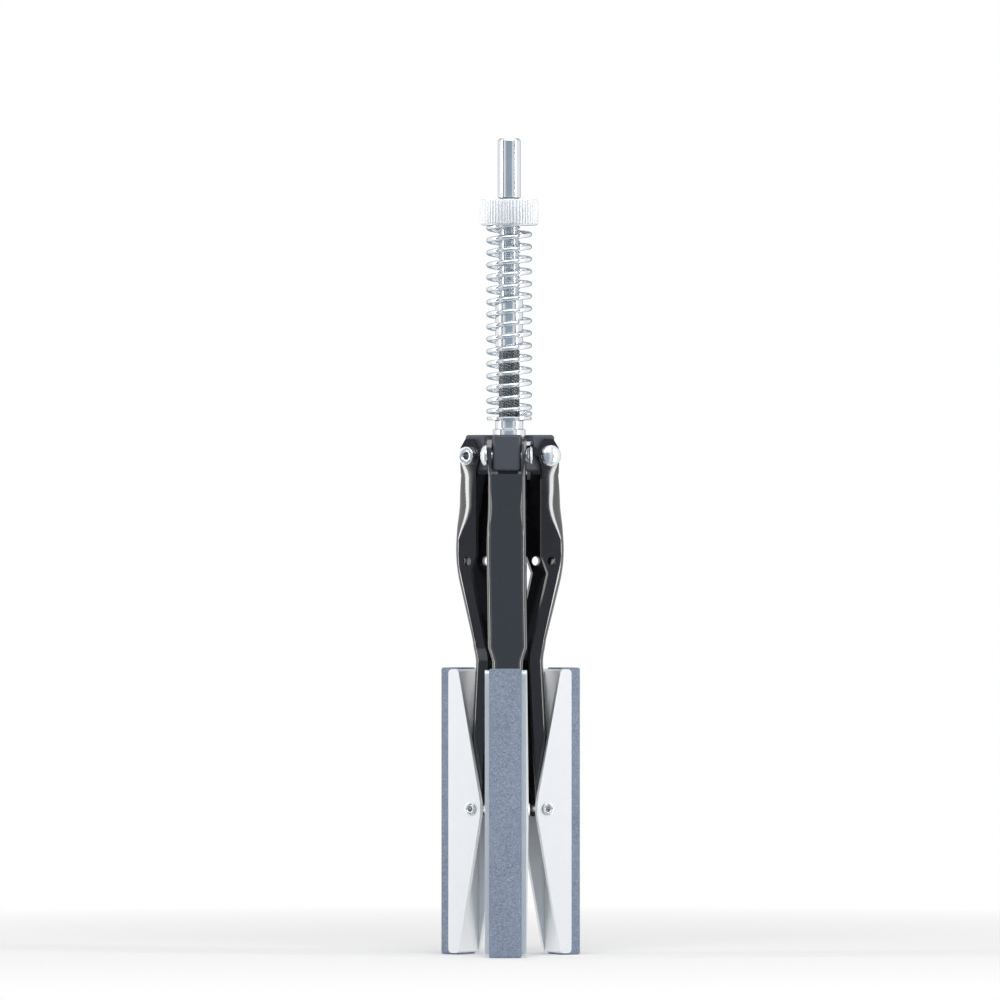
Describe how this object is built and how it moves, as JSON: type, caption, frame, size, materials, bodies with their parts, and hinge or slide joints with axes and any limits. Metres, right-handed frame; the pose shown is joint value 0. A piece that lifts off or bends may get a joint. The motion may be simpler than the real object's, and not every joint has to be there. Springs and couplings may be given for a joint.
{
  "type": "cylinder hone",
  "caption": "Engine cylinder hone: abrasive stones on pivoted spring-loaded arms, driven through a flexible shaft by a round drill shank.",
  "frame": {"origin": "middle of the plain shank, on its axis", "axes": "+Z along the drive axis towards the drill, -Y towards the arm that faces the viewer"},
  "size_m": [0.0484, 0.0425, 0.2845],
  "materials": {
    "shank_steel": "turned steel, bright zinc plate",
    "zinc_plate": "bright zinc plate",
    "nut_zinc": "bright zinc plate over a straight knurl",
    "spring_zinc": "bright zinc plated spring wire",
    "cable_wire": "blackened wire, oiled",
    "hub_black": "satin black",
    "arm_paint": "gloss black paint",
    "rivet_zinc": "bright zinc plate",
    "holder_zinc": "bright plated pressing",
    "stone_grit": "open silicon carbide grit"
  },
  "bodies": {
    "shank": {"drive_shank": "shank_steel", "upper_ferrule": "shank_steel", "flexible_shaft": "cable_wire", "pressure_spring": "spring_zinc"},
    "washer": {"thrust_washer": "zinc_plate"},
    "nut": {"tension_nut": "nut_zinc"},
    "hub": {"hub": "hub_black", "hub_stem": "shank_steel", "stem_nut": "zinc_plate", "pivot_rivet_1": "rivet_zinc", "pivot_rivet_2": "rivet_zinc", "pivot_rivet_3": "rivet_zinc"},
    "collar": {"pressure_collar": "zinc_plate"},
    "arm_1": {"arm_1": "arm_paint"},
    "arm_2": {"arm_2": "arm_paint"},
    "arm_3": {"arm_3": "arm_paint"},
    "holder_1": {"stone_holder_1": "holder_zinc", "stone_1": "stone_grit", "holder_pin_1": "rivet_zinc"},
    "holder_2": {"stone_holder_2": "holder_zinc", "stone_2": "stone_grit", "holder_pin_2": "rivet_zinc"},
    "holder_3": {"stone_holder_3": "holder_zinc", "stone_3": "stone_grit", "holder_pin_3": "rivet_zinc"}
  },
  "joints": [
    {"name": "shaft_bend", "type": "hinge", "parent": "shank", "child": "hub", "pos_m": [0, 0, -0.0747], "axis": [1, 0, 0], "range_deg": [-15, 15], "stiffness_Nm_per_rad": 0.8, "deforming": ["flexible_shaft", "pressure_spring"]},
    {"name": "nut_travel", "type": "slide", "parent": "shank", "child": "washer", "axis": [0, 0, -1], "range_m": [0, 0.01], "deforming": ["pressure_spring"]},
    {"name": "nut_turn", "type": "hinge", "parent": "washer", "child": "nut", "pos_m": [0, 0, -0.0199], "axis": [0, 0, -1], "range_deg": [0, 2880]},
    {"name": "collar_slide", "type": "slide", "parent": "hub", "child": "collar", "axis": [0, 0, -1], "range_m": [0, 0.00375], "deforming": ["pressure_spring"]},
    {"name": "arm_1_swing", "type": "hinge", "parent": "hub", "child": "arm_1", "pos_m": [0, -0.0126, -0.1002], "axis": [-1, 0, 0], "range_deg": [0, 31]},
    {"name": "arm_2_swing", "type": "hinge", "parent": "hub", "child": "arm_2", "pos_m": [0.01091, 0.0063, -0.1002], "axis": [0.5, -0.866, 0], "range_deg": [0, 31]},
    {"name": "arm_3_swing", "type": "hinge", "parent": "hub", "child": "arm_3", "pos_m": [-0.01091, 0.0063, -0.1002], "axis": [0.5, 0.866, 0], "range_deg": [0, 31]},
    {"name": "holder_1_tilt", "type": "hinge", "parent": "arm_1", "child": "holder_1", "pos_m": [0, -0.0114, -0.2232], "axis": [-1, 0, 0], "range_deg": [-31, 0]},
    {"name": "holder_2_tilt", "type": "hinge", "parent": "arm_2", "child": "holder_2", "pos_m": [0.00987, 0.0057, -0.2232], "axis": [0.5, -0.866, 0], "range_deg": [-31, 0]},
    {"name": "holder_3_tilt", "type": "hinge", "parent": "arm_3", "child": "holder_3", "pos_m": [-0.00987, 0.0057, -0.2232], "axis": [0.5, 0.866, 0], "range_deg": [-31, 0]}
  ],
  "couplings": [
    {"joint": "nut_turn", "follows": "nut_travel", "rad_per_m": 5026.5},
    {"joint": "collar_slide", "follows": "arm_1_swing", "m_per_rad": 0.0069147},
    {"joint": "arm_2_swing", "follows": "arm_1_swing", "ratio": 1},
    {"joint": "arm_3_swing", "follows": "arm_1_swing", "ratio": 1},
    {"joint": "holder_1_tilt", "follows": "arm_1_swing", "ratio": -1},
    {"joint": "holder_2_tilt", "follows": "arm_1_swing", "ratio": -1},
    {"joint": "holder_3_tilt", "follows": "arm_1_swing", "ratio": -1}
  ]
}
